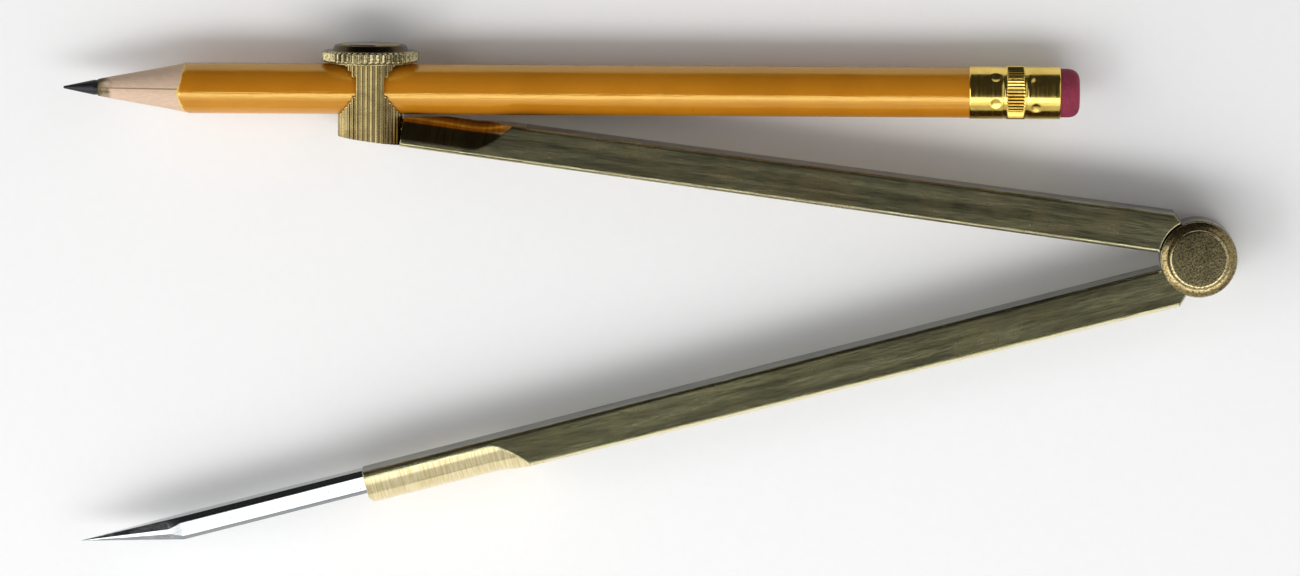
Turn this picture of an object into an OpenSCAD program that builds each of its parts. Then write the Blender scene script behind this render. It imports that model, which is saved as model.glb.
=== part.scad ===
// Brass pencil compass: two legs on a half-lap hinge, a steel point and a pencil in a screw clamp.
// The hinge axis is Z through the origin, the tips point along -X, and Z is 0 on the rear rivet cap.
// The pencil lies parallel to X. Each leg is drawn in its own frame: X runs from the hinge to the tip
// along the line where the closed legs meet, and Y points away from the other leg.

/* [Hinge] */
// Diameter of the round eye at the top of each leg
eye_d = 10.3; // [9:0.1:14]
// Gap round an eye to the shoulder of the other leg
lap_gap = 0.2; // [0.1:0.05:0.5]
// Diameter of the hinge rivet's shank
shank_d = 3; // [2:0.1:4]
// Diameter of the rivet's head and of the cap that closes it at the rear
head_d = 8; // [6:0.1:9]
// Height of the rivet's head and of the rear cap
head_h = 0.6; // [0.4:0.05:1.5]
// Diameter of the rose washers under the head and the cap
rose_d = 10.1; // [9.2:0.1:13]
// Thickness of a rose washer
rose_t = 0.8; // [0.5:0.05:1.5]
// Rounding of the edges of the head, the cap and the rose washers
round_r = 0.35; // [0.1:0.05:0.4]
// Diameter of the friction washer between the two eyes
lap_washer_d = 9; // [6:0.1:10]
// Thickness of the friction washer between the two eyes
lap_washer_t = 0.2; // [0.1:0.05:0.5]

/* [Legs] */
// Angle between the two legs
opening = 22.25; // [5:0.05:60]
// Angle between the pencil and the leg that carries it
pencil_leg_tilt = 7.65; // [6:0.05:10]
// Thickness of a leg, along the hinge axis
leg_t = 9.3; // [8:0.1:9.4]
// Width of a leg at the hinge
leg_hinge_w = 5.45; // [5:0.05:6.5]
// Width of a leg at its lower end
leg_end_w = 4.75; // [4.2:0.05:5]
// Length of the needle leg, from the hinge axis to its end
needle_leg_l = 115.7; // [100:0.5:130]
// Gap between the legs when the compass is shut
closed_gap = 0.2; // [0.1:0.05:0.6]
// Chamfer along the legs' edges
edge_chamfer = 0.35; // [0.1:0.05:0.6]
// Distance from the hinge axis to the cut shoulder of a leg
shoulder_u = 4.1; // [4:0.1:6]
// Length of the shoulder's cut along the leg
shoulder_cut = 1.2; // [1:0.1:2]
// Length of the cut corner at the end of the needle leg
end_cut_l = 0.7; // [0.2:0.1:2]
// Width of the cut corner at the end of the needle leg
end_cut_w = 1.1; // [0.2:0.1:1.3]

/* [Turned ends] */
// Distance from the hinge axis to the round part that is turned on both legs as a pair
turn_u = 98.5; // [90:0.5:103]
// Radius of the round part, about the line where the legs meet
turn_r = 4.75; // [4.71:0.01:4.84]
// Radius of the hollow fillet from the flat bar to the round part
fillet_r = 7.5; // [5:0.1:10]

/* [Steel point] */
// Distance from the hinge axis to the tip of the steel point
reach = 154.7; // [140:0.1:170]
// Width of the steel bar that the point is ground from
bar_w = 6; // [5:0.1:7]
// Height of the steel bar over its flat inner side
bar_h = 3.1; // [2.6:0.05:3.4]
// Height of the bar's widest line over its flat inner side
flank_h = 0.8; // [0.4:0.05:1.2]
// Narrowing of the flat inner side on each edge
flank_in = 0.5; // [0.1:0.05:0.8]
// Height at which the bar's broad faces end
face_h = 2.6; // [2:0.05:3]
// Narrowing of the bar where its broad faces end
face_in = 0.45; // [0.2:0.05:0.8]
// Width of the bar's back
back_w = 2.4; // [1:0.1:3]
// Length of the ground tip
taper_l = 13.8; // [8:0.1:20]
// Radius of the blunted tip
point_r = 0.05; // [0.02:0.01:0.2]
// Diameter of the tang in the leg
tang_d = 1.8; // [1.4:0.1:1.9]
// Length of the tang in the leg
tang_l = 8; // [4:0.5:12]

/* [Clamp] */
// Distance from the hinge axis to the clamp post along its leg
clamp_u = 112.1; // [100:0.1:120]
// Room round the pencil in the hole of the clamp post
hole_room = 0.5; // [0.15:0.05:0.6]
// Thickness of the post's wall beside the hole, with its ribs
web_t = 0.43; // [0.4:0.01:1]
// Number of ribs round the clamp post
rib_count = 38; // [24:1:48]
// Depth of the grooves between the ribs
rib_depth = 0.16; // [0.08:0.01:0.25]
// Diameter of the tenon that joins the pencil leg to the post
tenon_d = 2.2; // [1.6:0.1:2.4]
// Length of the tenon in the post
tenon_l = 3.4; // [2:0.1:4]
// Thickness of the washer that presses on the pencil
washer_t = 0.2; // [0.2:0.05:0.8]
// Width of the washer's ring
washer_ring_w = 1.5; // [0.8:0.1:2.5]
// Diameter of the knurled rim of the clamp nut
nut_d = 13; // [11:0.1:16]
// Thickness of the knurled rim
nut_rim_t = 1.5; // [1:0.1:3]
// Diameter of the nut's collar where it leaves the rim
collar_d = 10.3; // [9.6:0.1:11]
// Height of the nut's collar
collar_h = 0.8; // [0.2:0.1:2]
// Number of flutes round the nut
flute_count = 50; // [30:1:60]
// Depth of the flutes round the nut
flute_depth = 0.22; // [0.1:0.01:0.4]
// Chamfer of the nut's rim
nut_chamfer = 0.25; // [0.1:0.05:0.4]

/* [Pencil] */
// Diameter of the pencil
pencil_d = 6.8; // [6.5:0.1:8.5]
// Distance from the hinge axis to the pencil's axis
pencil_offset = 21.9; // [20.5:0.05:24]
// Distance from the hinge axis to the tip of the pencil
pencil_reach = 153.8; // [140:0.1:170]
// Length of the pencil with its eraser
pencil_l = 136.2; // [115:0.1:160]
// Length of the sharpened cone
cone_l = 15.5; // [10:0.1:22]
// Diameter of the lead
lead_d = 2; // [1.6:0.1:3]
// Diameter of the lead's blunt tip
lead_tip_d = 0.3; // [0.1:0.05:0.6]
// Gap between the pencil and its seat in the leg
lay_gap = 0.2; // [0.15:0.05:2]
// Length of the ferrule
ferrule_l = 12.2; // [9:0.1:16]
// Thickness of the ferrule's sheet
ferrule_wall = 0.25; // [0.2:0.01:0.4]
// Height of the ferrule over the pencil's barrel
ferrule_step = 0.15; // [0.05:0.01:0.2]
// Distance from the front of the ferrule to its fluted band
band_start = 5; // [4:0.1:6]
// Length of the ferrule's fluted band
band_l = 2.4; // [1:0.1:3]
// Number of flutes round the band
band_flutes = 48; // [30:1:60]
// Depth of the band's flutes
band_depth = 0.12; // [0.05:0.01:0.15]
// Distance of the punched dents from the fluted band
dent_gap = 1.5; // [1:0.1:2]
// Number of punched dents in a row round the ferrule
dent_count = 6; // [4:1:10]
// Radius of the punch that makes the dents
dent_r = 0.7; // [0.4:0.05:1]
// Depth of a punched dent
dent_depth = 0.12; // [0.05:0.01:0.15]
// Length of the eraser that stands out of the ferrule
eraser_out = 2.6; // [1:0.1:6]
// Length of the eraser inside the ferrule
eraser_in = 5.5; // [3:0.1:6]
// Rounding of the eraser's edge
eraser_round = 0.8; // [0.2:0.1:1.5]

/* [Fits] */
// Radial clearance of the turning leg on the rivet and of the nut and its washer on the post
run_fit = 0.06; // [0.02:0.01:0.1]
// Clearance of pieces that are fixed in one another
seat_fit = 0.02; // [0.01:0.01:0.05]
// Play along the axis between pieces that turn or slide on each other
play = 0.03; // [0.02:0.01:0.1]
// Gap between the pencil and the floor of the post's hole
rest_gap = 0.06; // [0.03:0.01:0.1]

/* [Hidden] */
$fn = 96;

// Room that a cutter needs past the faces it cuts
over = 1;
// Share of a flute's pitch that its floor takes
floor_share = 0.35;
// Wood that is left round the lead at the front of the casing
wood_edge = 0.12;
// Gap at the end of a blind hole
blind_gap = 0.3;
// Distance of the tang from the middle of the bar
tang_shift = 0.15;
// Height by which the post's end stands over the nut's collar
post_rise = 0.15;
// Gap from the other leg's eye to the chamfer of an inner edge
chamfer_gap = 0.15;
// Distance from the end of the pencil leg's bar to the clamp post's axis
leg_stop = 4;
// Radius past the corners of the bar, where the turning tool runs clear
turn_clear = 9;
// Step from the grooves between the post's ribs down to the thread
thread_step = 0.06;
// Depth of the band's crests under the ferrule's surface
crest_sink = 0.03;

// Heights along the hinge axis, from the rear face to the front
leg_z0 = head_h + rose_t;
leg_z1 = leg_z0 + leg_t;
mid_z = leg_z0 + leg_t / 2;
eye_t = (leg_t - lap_washer_t - play) / 2;
front_eye_z = leg_z1 - eye_t;
front_rose_z = leg_z1 + play;
head_z = front_rose_z + rose_t;

// Places across a leg
inner_v = closed_gap / 2;
end_v = inner_v + leg_end_w;
function outer_v(u) = end_v + (leg_hinge_w - leg_end_w) * (1 - u / turn_u);
lap_r = eye_d / 2 + lap_gap;
shoulder_v = outer_v(shoulder_u);
taper_angle = atan((leg_hinge_w - leg_end_w) / turn_u);

// Clamp post and pencil
pencil_r = pencil_d / 2;
hole_r = pencil_r + hole_room;
post_r = hole_r + web_t;
thread_r = post_r - rib_depth - thread_step;
post_x = -clamp_u * cos(pencil_leg_tilt);
hole_y = pencil_offset + hole_room - rest_gap;
rib_top_y = pencil_offset + pencil_r;
washer_y = rib_top_y + play;
washer_r = thread_r + run_fit + washer_ring_w;
nut_y = washer_y + washer_t + play;
nut_r = nut_d / 2;
nut_h = nut_rim_t + collar_h;
post_top_y = nut_y + nut_h + post_rise;
tenon_v = inner_v + leg_end_w / 2;
tang_v = inner_v + bar_h / 2 + tang_shift;
tenon_root = 2 * post_r;
tenon_reach = post_r + tenon_l;

// Pencil, measured from its tip
tip_x = -sqrt(pencil_reach * pencil_reach - pencil_offset * pencil_offset);
lead_r = lead_d / 2;
lead_tip_r = lead_tip_d / 2;
cone_slope = (pencil_r - lead_tip_r) / cone_l;
function cone_at(r) = (r - lead_tip_r) / cone_slope;
ferrule_s = pencil_l - eraser_out - ferrule_l;
ferrule_end_s = ferrule_s + ferrule_l;
ferrule_r = pencil_r + ferrule_step;
neck_r = ferrule_r - ferrule_wall - seat_fit;
casing_end_s = ferrule_end_s - eraser_in - play;

module in_pencil_leg() {
    rotate([0, 0, 180 - pencil_leg_tilt])
        mirror([0, 1, 0])
            children();
}

module in_needle_leg() {
    rotate([0, 0, 180 + opening - pencil_leg_tilt])
        children();
}

// Stands a piece on the clamp post's axis, with its Z along the post
module on_post(y) {
    translate([post_x, y, mid_z])
        rotate([-90, 0, 0])
            children();
}

// Lays a piece on the pencil's axis, with its Z running back from the tip
module on_pencil(s) {
    translate([tip_x + s, pencil_offset, mid_z])
        rotate([0, 90, 0])
            children();
}

// Outline of a round bar with straight-sided grooves along it
module grooved_round(r, depth, count) {
    pitch = 360 / count;
    crest = pitch * (1 - floor_share) / 4;
    root = pitch * floor_share / 2;
    polygon([
        for (i = [0 : count - 1])
            for (p = [[r, -crest], [r, crest], [r - depth, pitch / 2 - root], [r - depth, pitch / 2 + root]])
                p[0] * [cos(i * pitch + p[1]), sin(i * pitch + p[1])]
    ]);
}

// Disc with a rounded upper edge
module round_disc(r, h, edge) {
    rotate_extrude() {
        square([r - edge, h]);
        square([r, h - edge]);
        translate([r - edge, h - edge])
            intersection() {
                circle(r = edge);
                square(edge);
            }
    }
}

// Rose washer: a disc with a rounded edge and a hole for the rivet
module rose() {
    difference() {
        round_disc(rose_d / 2, rose_t, round_r);
        translate([0, 0, -over])
            cylinder(d = shank_d + 2 * seat_fit, h = rose_t + 2 * over);
    }
}

// Block that cuts a chamfer along X, on an edge that points to the given sides in Y and Z
module chamfer_cutter(l, side_y, side_z) {
    rotate([atan2(side_z, side_y), 0, 0])
        translate([0, -edge_chamfer / sqrt(2), -over])
            cube([l, over, 2 * over]);
}

// What the lathe takes off the corners of both legs: a hollow fillet and then a straight round part
module turning(l) {
    translate([0, 0, mid_z])
        rotate([0, 90, 0])
            rotate_extrude() {
                translate([turn_r, turn_u])
                    square([turn_clear - turn_r, l]);
                intersection() {
                    translate([turn_r + fillet_r, turn_u])
                        circle(r = fillet_r);
                    translate([turn_r, turn_u - fillet_r])
                        square([turn_clear - turn_r, fillet_r + over]);
                }
            }
}

// Tapering bar from the hinge to u = l, with chamfered edges and a turned end
module leg_bar(l) {
    difference() {
        translate([0, 0, leg_z0])
            linear_extrude(leg_t)
                polygon([
                    [0, inner_v],
                    [l, inner_v],
                    [l, end_v],
                    [turn_u, end_v],
                    [shoulder_u, shoulder_v],
                    [shoulder_u - shoulder_cut, shoulder_v - shoulder_cut],
                    [0, shoulder_v - shoulder_cut]
                ]);
        for (side = [-1, 1]) {
            translate([lap_r + chamfer_gap, inner_v, mid_z + side * leg_t / 2])
                chamfer_cutter(needle_leg_l, -1, side);
            translate([turn_u, end_v, mid_z + side * leg_t / 2])
                rotate([0, 0, -taper_angle])
                    translate([shoulder_u - turn_u, 0, 0])
                        chamfer_cutter(turn_u - shoulder_u, 1, side);
        }
        turning(l);
    }
}

// Leg with its eye in one half of the thickness, cleared for the other leg's eye in the other half
module lapped_leg(l, eye_z, clear_z, bore_fit) {
    difference() {
        union() {
            difference() {
                leg_bar(l);
                translate([0, 0, clear_z])
                    cylinder(r = lap_r, h = leg_t - eye_t + over);
            }
            translate([0, 0, eye_z])
                cylinder(d = eye_d, h = eye_t);
        }
        translate([0, 0, leg_z0 - over])
            cylinder(d = shank_d + 2 * bore_fit, h = leg_t + 2 * over);
    }
}

// Leg that carries the clamp: its end has a seat for the pencil, fits the post and has a round tenon
module pencil_leg() {
    color("darkgoldenrod") {
        difference() {
            in_pencil_leg()
                lapped_leg(clamp_u - leg_stop, leg_z0, leg_z0 + eye_t, seat_fit);
            on_post(0)
                cylinder(r = post_r + seat_fit, h = post_top_y);
            translate([tip_x, pencil_offset - pencil_r - lay_gap, leg_z0 - over])
                cube([pencil_l, pencil_d, leg_t + 2 * over]);
        }
        in_pencil_leg()
            translate([clamp_u - tenon_root, tenon_v, mid_z])
                rotate([0, 90, 0])
                    cylinder(d = tenon_d, h = tenon_reach);
    }
}

// Leg that carries the steel point in a drilled socket
module needle_leg() {
    color("goldenrod")
        in_needle_leg()
            difference() {
                lapped_leg(needle_leg_l, front_eye_z, leg_z0 - over, run_fit);
                translate([needle_leg_l - tang_l - blind_gap, tang_v, mid_z])
                    rotate([0, 90, 0])
                        cylinder(d = tang_d + 2 * seat_fit, h = tang_l + blind_gap + over);
                translate([needle_leg_l, end_v, leg_z0 - over])
                    linear_extrude(leg_t + 2 * over)
                        polygon([
                            [-2 * end_cut_l, end_cut_w],
                            [end_cut_l, -2 * end_cut_w],
                            [end_cut_l, end_cut_w]
                        ]);
            }
}

// Bevelled steel bar with a ground tip on the line where the legs meet, and a tang in the leg
module steel_point() {
    exposed = reach - needle_leg_l;
    half_w = bar_w / 2;
    color("lightslategray")
        in_needle_leg()
            translate([needle_leg_l, inner_v, mid_z]) {
                intersection() {
                    rotate([90, 0, 90])
                        linear_extrude(exposed)
                            polygon([
                                [0, half_w - flank_in],
                                [flank_h, half_w],
                                [face_h, half_w - face_in],
                                [bar_h, back_w / 2],
                                [bar_h, -back_w / 2],
                                [face_h, face_in - half_w],
                                [flank_h, -half_w],
                                [0, flank_in - half_w]
                            ]);
                    rotate([0, 90, 0])
                        rotate([0, 0, 45])
                            cylinder(r1 = exposed * bar_h / taper_l, r2 = point_r, h = exposed);
                }
                translate([-tang_l, tang_v - inner_v, 0])
                    rotate([0, 90, 0])
                        cylinder(d = tang_d, h = tang_l + over);
            }
}

// Rivet with a flat rounded head in front and a shank that ends inside the rear cap
module hinge_rivet() {
    color("peru") {
        translate([0, 0, head_z])
            round_disc(head_d / 2, head_h, round_r);
        translate([0, 0, head_h / 2])
            cylinder(d = shank_d, h = head_z);
    }
}

// Cap pressed on the rear end of the rivet
module rear_rivet_cap() {
    color("peru")
        difference() {
            translate([0, 0, head_h])
                mirror([0, 0, 1])
                    round_disc(head_d / 2, head_h, round_r);
            translate([0, 0, head_h / 2 - seat_fit])
                cylinder(d = shank_d + 2 * seat_fit, h = head_h);
        }
}

module front_rose() {
    color("burlywood")
        translate([0, 0, front_rose_z])
            rose();
}

module rear_rose() {
    color("burlywood")
        translate([0, 0, leg_z0])
            mirror([0, 0, 1])
                rose();
}

// Thin friction washer between the eyes
module lap_washer() {
    color("saddlebrown")
        translate([0, 0, leg_z0 + eye_t])
            difference() {
                cylinder(d = lap_washer_d, h = lap_washer_t);
                translate([0, 0, -over])
                    cylinder(d = shank_d + 2 * run_fit, h = lap_washer_t + 2 * over);
            }
}

// Ribbed post with a cross hole for the pencil, a socket for the leg's tenon and a plain thread core
module clamp_post() {
    color("tan")
        difference() {
            union() {
                on_post(0)
                    linear_extrude(rib_top_y)
                        grooved_round(post_r, rib_depth, rib_count);
                on_post(rib_top_y - over)
                    cylinder(r = thread_r, h = post_top_y - rib_top_y + over);
            }
            on_pencil(0)
                translate([0, hole_y - pencil_offset, 0])
                    cylinder(r = hole_r, h = pencil_l);
            in_pencil_leg() {
                translate([clamp_u - tenon_root, tenon_v, mid_z])
                    rotate([0, 90, 0])
                        cylinder(d = tenon_d + 2 * seat_fit, h = tenon_reach + seat_fit);
                translate([clamp_u - 4 * post_r, inner_v - clamp_u, mid_z - 2 * post_r])
                    cube([8 * post_r, clamp_u, 4 * post_r]);
            }
        }
}

// Ring that slides on the post and presses on the pencil on both sides of it
module pressure_washer() {
    color("khaki")
        on_post(washer_y)
            difference() {
                cylinder(r = washer_r, h = washer_t);
                translate([0, 0, -over])
                    cylinder(r = thread_r + run_fit, h = washer_t + 2 * over);
            }
}

// Nut with a fluted rim, chamfered above and below, and a low tapered collar
module clamp_nut() {
    color("gold")
        on_post(nut_y)
            difference() {
                union() {
                    intersection() {
                        linear_extrude(nut_rim_t)
                            grooved_round(nut_r, flute_depth, flute_count);
                        rotate_extrude()
                            polygon([
                                [0, 0],
                                [nut_r - nut_chamfer, 0],
                                [nut_r - nut_chamfer + nut_rim_t / 2, nut_rim_t / 2],
                                [nut_r - nut_chamfer, nut_rim_t],
                                [0, nut_rim_t]
                            ]);
                    }
                    translate([0, 0, nut_rim_t])
                        cylinder(d1 = collar_d, d2 = collar_d - collar_h, h = collar_h);
                }
                translate([0, 0, -over])
                    cylinder(r = thread_r + run_fit, h = nut_h + 2 * over);
            }
}

// Wooden casing: a grooved slat above (1) or below (-1) the lead, sharpened in front, necked in the ferrule
module casing(side) {
    front_r = lead_r + wood_edge;
    front_s = cone_at(front_r);
    on_pencil(0)
        intersection() {
            rotate_extrude()
                polygon([
                    [lead_r + seat_fit, front_s],
                    [front_r, front_s],
                    [pencil_r, cone_l],
                    [pencil_r, ferrule_s],
                    [neck_r, ferrule_s],
                    [neck_r, casing_end_s],
                    [lead_r + seat_fit, casing_end_s]
                ]);
            translate([-pencil_d, (side - 1) * pencil_r, 0])
                cube([2 * pencil_d, 2 * pencil_r, pencil_l]);
        }
}

module casing_upper() {
    color("orange")
        casing(1);
}

module casing_lower() {
    color("orange")
        casing(-1);
}

// Lead with its sharpened cone
module pencil_lead() {
    color("dimgray")
        on_pencil(0)
            rotate_extrude()
                polygon([
                    [0, 0],
                    [lead_tip_r, 0],
                    [lead_r, cone_at(lead_r)],
                    [lead_r, casing_end_s],
                    [0, casing_end_s]
                ]);
}

// Sheet-metal ferrule with a fluted band and two rows of punched dents
module ferrule() {
    band_end = band_start + band_l;
    color("yellow")
        on_pencil(ferrule_s)
            difference() {
                cylinder(r = ferrule_r, h = ferrule_l);
                translate([0, 0, -over])
                    cylinder(r = neck_r + seat_fit, h = ferrule_l + 2 * over);
                translate([0, 0, band_start])
                    difference() {
                        cylinder(r = ferrule_r + over, h = band_l);
                        linear_extrude(band_l)
                            grooved_round(ferrule_r - crest_sink, band_depth - crest_sink, band_flutes);
                    }
                for (s = [band_start - dent_gap, band_end + dent_gap])
                    for (i = [0 : dent_count - 1])
                        rotate([0, 0, (i + 0.5) * 360 / dent_count])
                            translate([ferrule_r + dent_r - dent_depth, 0, s])
                                sphere(r = dent_r);
            }
}

// Eraser plug with a worn round edge
module eraser() {
    color("palevioletred")
        on_pencil(ferrule_end_s - eraser_in)
            round_disc(neck_r, eraser_in + eraser_out, eraser_round);
}

pencil_leg();
needle_leg();
steel_point();
hinge_rivet();
rear_rivet_cap();
front_rose();
rear_rose();
lap_washer();
clamp_post();
pressure_washer();
clamp_nut();
casing_upper();
casing_lower();
pencil_lead();
ferrule();
eraser();
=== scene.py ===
# %% [markdown]
# # A brass pencil compass
# Two flat brass legs turn on a riveted hinge. One ends in a ground steel point, and the other carries
# a ribbed post with a cross hole, where a knurled nut presses an ordinary pencil.
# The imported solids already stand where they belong, so this lesson gives them their made surfaces
# and finishes. Everything is worked out in millimetres and put into the meshes in metres.

import bmesh
import bpy
import numpy as np
from mathutils import Matrix, Vector


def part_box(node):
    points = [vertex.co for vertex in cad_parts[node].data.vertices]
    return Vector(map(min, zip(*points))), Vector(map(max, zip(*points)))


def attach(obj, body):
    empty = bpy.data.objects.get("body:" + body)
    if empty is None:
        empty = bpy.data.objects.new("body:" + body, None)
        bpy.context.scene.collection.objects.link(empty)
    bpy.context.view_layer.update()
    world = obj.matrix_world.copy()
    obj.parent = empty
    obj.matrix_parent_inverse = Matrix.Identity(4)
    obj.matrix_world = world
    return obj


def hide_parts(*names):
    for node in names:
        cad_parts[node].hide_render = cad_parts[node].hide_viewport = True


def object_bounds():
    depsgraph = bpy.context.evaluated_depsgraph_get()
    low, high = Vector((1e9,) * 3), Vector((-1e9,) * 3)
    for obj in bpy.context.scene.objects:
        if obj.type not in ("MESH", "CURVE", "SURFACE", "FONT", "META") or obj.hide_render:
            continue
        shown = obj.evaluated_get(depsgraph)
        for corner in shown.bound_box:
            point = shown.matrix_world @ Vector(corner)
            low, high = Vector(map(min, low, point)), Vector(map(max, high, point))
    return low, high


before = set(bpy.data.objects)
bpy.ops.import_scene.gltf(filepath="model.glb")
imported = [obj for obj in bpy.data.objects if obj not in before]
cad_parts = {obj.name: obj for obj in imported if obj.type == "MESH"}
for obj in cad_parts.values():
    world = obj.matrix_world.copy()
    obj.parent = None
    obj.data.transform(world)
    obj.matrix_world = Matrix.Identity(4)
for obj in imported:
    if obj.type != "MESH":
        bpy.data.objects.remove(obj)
cad_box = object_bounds()
MM = 0.001
print("nodes", len(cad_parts), "box mm", [round((b - a) / MM, 1) for a, b in zip(*cad_box)])

# %% [markdown]
# ## Places
# A new surface has to lie where its solid lies. The boxes of the solids give the axes of the hinge,
# the post and the pencil, so nothing has to be measured twice.

# %% Axes and stations


def box_mm(node):
    """Lowest and highest corner of a solid, in millimetres."""
    low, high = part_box(node)
    return np.array(low) / MM, np.array(high) / MM


nut_low, nut_high = box_mm("clamp_nut")
lead_low, lead_high = box_mm("pencil_lead")
leg_low, leg_high = box_mm("needle_leg")
post_x = (nut_low[0] + nut_high[0]) / 2
mid_z = (leg_low[2] + leg_high[2]) / 2
pencil_y = (lead_low[1] + lead_high[1]) / 2
tip_x = lead_low[0]
print("post", round(post_x, 2), "middle", round(mid_z, 2), "pencil", round(pencil_y, 2), "tip", round(tip_x, 2))

# %% [markdown]
# ## Surfaces from grids
# Most of these pieces came off a lathe, so a profile carried round an axis gives them. Others are a
# section that changes along a path. Both are grids of points, and the same faces join any grid.
# Corner points that fall together, as on a pole or a seam, are merged so that every piece is closed.

# %% Faces of a grid


def grid_faces(rows, cols, wrap_rows=False, wrap_cols=False):
    """Corner numbers of the quads between the neighbours of a grid.
    A wrapped side joins its last line to its first."""
    row = np.arange(rows if wrap_rows else rows - 1)
    col = np.arange(cols if wrap_cols else cols - 1)
    i, j = np.meshgrid(row, col, indexing="ij")
    i2, j2 = (i + 1) % rows, (j + 1) % cols
    return np.stack((i * cols + j, i * cols + j2, i2 * cols + j2, i2 * cols + j), axis=-1).reshape(-1, 4)


print("quads of a 3 x 4 tube", len(grid_faces(3, 4, wrap_cols=True)))

# %% A mesh that is closed and faces outwards


def make_piece(name, points, faces, body, nodes, material, crease=32.0):
    """Points in millimetres and corner numbers become a piece that stands for nodes and rides on body.
    The signed volume tells which way the faces point, and they are turned over if it is negative."""
    mesh = bpy.data.meshes.new(name)
    mesh.from_pydata((np.asarray(points, float) * MM).tolist(), [], np.asarray(faces).tolist())
    work = bmesh.new()
    work.from_mesh(mesh)
    bmesh.ops.remove_doubles(work, verts=work.verts, dist=0.0004 * MM)
    bmesh.ops.recalc_face_normals(work, faces=work.faces)
    if work.calc_volume(signed=True) < 0:
        bmesh.ops.reverse_faces(work, faces=work.faces)
    gaps = sum(not edge.is_manifold for edge in work.edges)
    work.to_mesh(mesh)
    work.free()
    mesh.polygons.foreach_set("use_smooth", np.ones(len(mesh.polygons), bool))
    mesh.set_sharp_from_angle(angle=np.radians(crease))
    mesh.materials.append(material)
    piece = bpy.data.objects.new(name, mesh)
    bpy.context.scene.collection.objects.link(piece)
    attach(piece, body)
    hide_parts(*nodes)
    print(name, len(mesh.polygons), "faces, open edges", gaps)
    return piece


# %% Lathe work


AXES = {
    "x": np.array([[0, 1, 0], [0, 0, 1], [1, 0, 0]], float),
    "y": np.array([[0, 0, 1], [1, 0, 0], [0, 1, 0]], float),
    "z": np.eye(3),
}


def softened(corners, steps=6):
    """Corners (radius, height, ease) of a profile, each replaced by a quadratic curve that starts and ends
    at the distance ease from the corner."""
    corners = np.asarray(corners, float)
    point, ease = corners[:, :2], corners[:, 2:]
    before, after = np.roll(point, 1, axis=0) - point, np.roll(point, -1, axis=0) - point
    start = point + ease * before / np.linalg.norm(before, axis=1, keepdims=True)
    end = point + ease * after / np.linalg.norm(after, axis=1, keepdims=True)
    t = np.linspace(0, 1, steps)[None, :, None]
    curve = (1 - t) ** 2 * start[:, None] + 2 * t * (1 - t) * point[:, None] + t ** 2 * end[:, None]
    return curve.reshape(-1, 2)


def turned(profile, columns, axis, origin, cut=None):
    """A profile carried round an axis: radius times the cosine and sine of the angle, and the height along it.
    cut(radius, height, angle) may lower the radius, as a knurling wheel or a punch does."""
    angle = np.linspace(0, 2 * np.pi, columns, endpoint=False)[None, :]
    radius, height = profile[:, :1], profile[:, 1:]
    depth = np.zeros_like(radius * angle) if cut is None else cut(radius, height, angle)
    local = np.stack(((radius - depth) * np.cos(angle), (radius - depth) * np.sin(angle),
                      height + 0 * angle), axis=-1)
    return (local @ AXES[axis] + np.asarray(origin)).reshape(-1, 3)


print("a softened square has", len(softened([(1, 0, .1), (2, 0, .1), (2, 1, .1), (1, 1, .1)])), "points")

# %% [markdown]
# ## Shader tools
# Brass, steel and lacquer share a few effects: brushed lines, patches of tarnish and small nicks.
# Each effect is a node group, built once, and every material places it with its own values.

# %% Nodes in one line


def put(tree, kind, inputs=None, **settings):
    """Adds a node, sets its properties, and joins or fills the named inputs."""
    made = tree.nodes.new(kind)
    for key, value in settings.items():
        setattr(made, key, value)
    for key, value in (inputs or {}).items():
        if isinstance(value, bpy.types.NodeSocket):
            tree.links.new(value, made.inputs[key])
        else:
            made.inputs[key].default_value = value
    return made


def math(tree, operation, *values):
    """One Math node on up to three values or sockets."""
    return put(tree, "ShaderNodeMath", dict(enumerate(values)), operation=operation).outputs[0]


def remap(tree, value, low, high, to_low=0.0, to_high=1.0, smooth=True):
    """A value between low and high moved to a new range and held there."""
    kind = "SMOOTHSTEP" if smooth else "LINEAR"
    return put(tree, "ShaderNodeMapRange", {"Value": value, "From Min": low, "From Max": high,
                                            "To Min": to_low, "To Max": to_high},
               interpolation_type=kind).outputs["Result"]


def times(tree, first, second):
    """The product of two values or sockets."""
    return math(tree, "MULTIPLY", first, second)


def blend(tree, share, first, second):
    """Two colours mixed by a share."""
    return put(tree, "ShaderNodeMix", {0: share, 6: first, 7: second}, data_type="RGBA").outputs[2]


def shade(red, green, blue):
    """A colour given as it looks on screen, from 0 to 255, turned into the linear colour of a shader."""
    seen = np.array([red, green, blue]) / 255
    linear = np.where(seen <= 0.04045, seen / 12.92, ((seen + 0.055) / 1.055) ** 2.4)
    return (*linear.tolist(), 1.0)


print("brass reads", [round(v, 2) for v in shade(222, 200, 150)[:3]])

# %% Groups for brushed lines, tarnish and nicks


def start_group(name, inputs, outputs):
    """An empty node group with named sockets; each input is (name, socket type, value)."""
    group = bpy.data.node_groups.new(name, "ShaderNodeTree")
    for label, kind, value in inputs:
        socket = group.interface.new_socket(label, in_out="INPUT", socket_type=kind)
        if value is not None:
            socket.default_value = value
    for label in outputs:
        group.interface.new_socket(label, in_out="OUTPUT", socket_type="NodeSocketFloat")
    return group, put(group, "NodeGroupInput").outputs, put(group, "NodeGroupOutput").inputs


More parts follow.
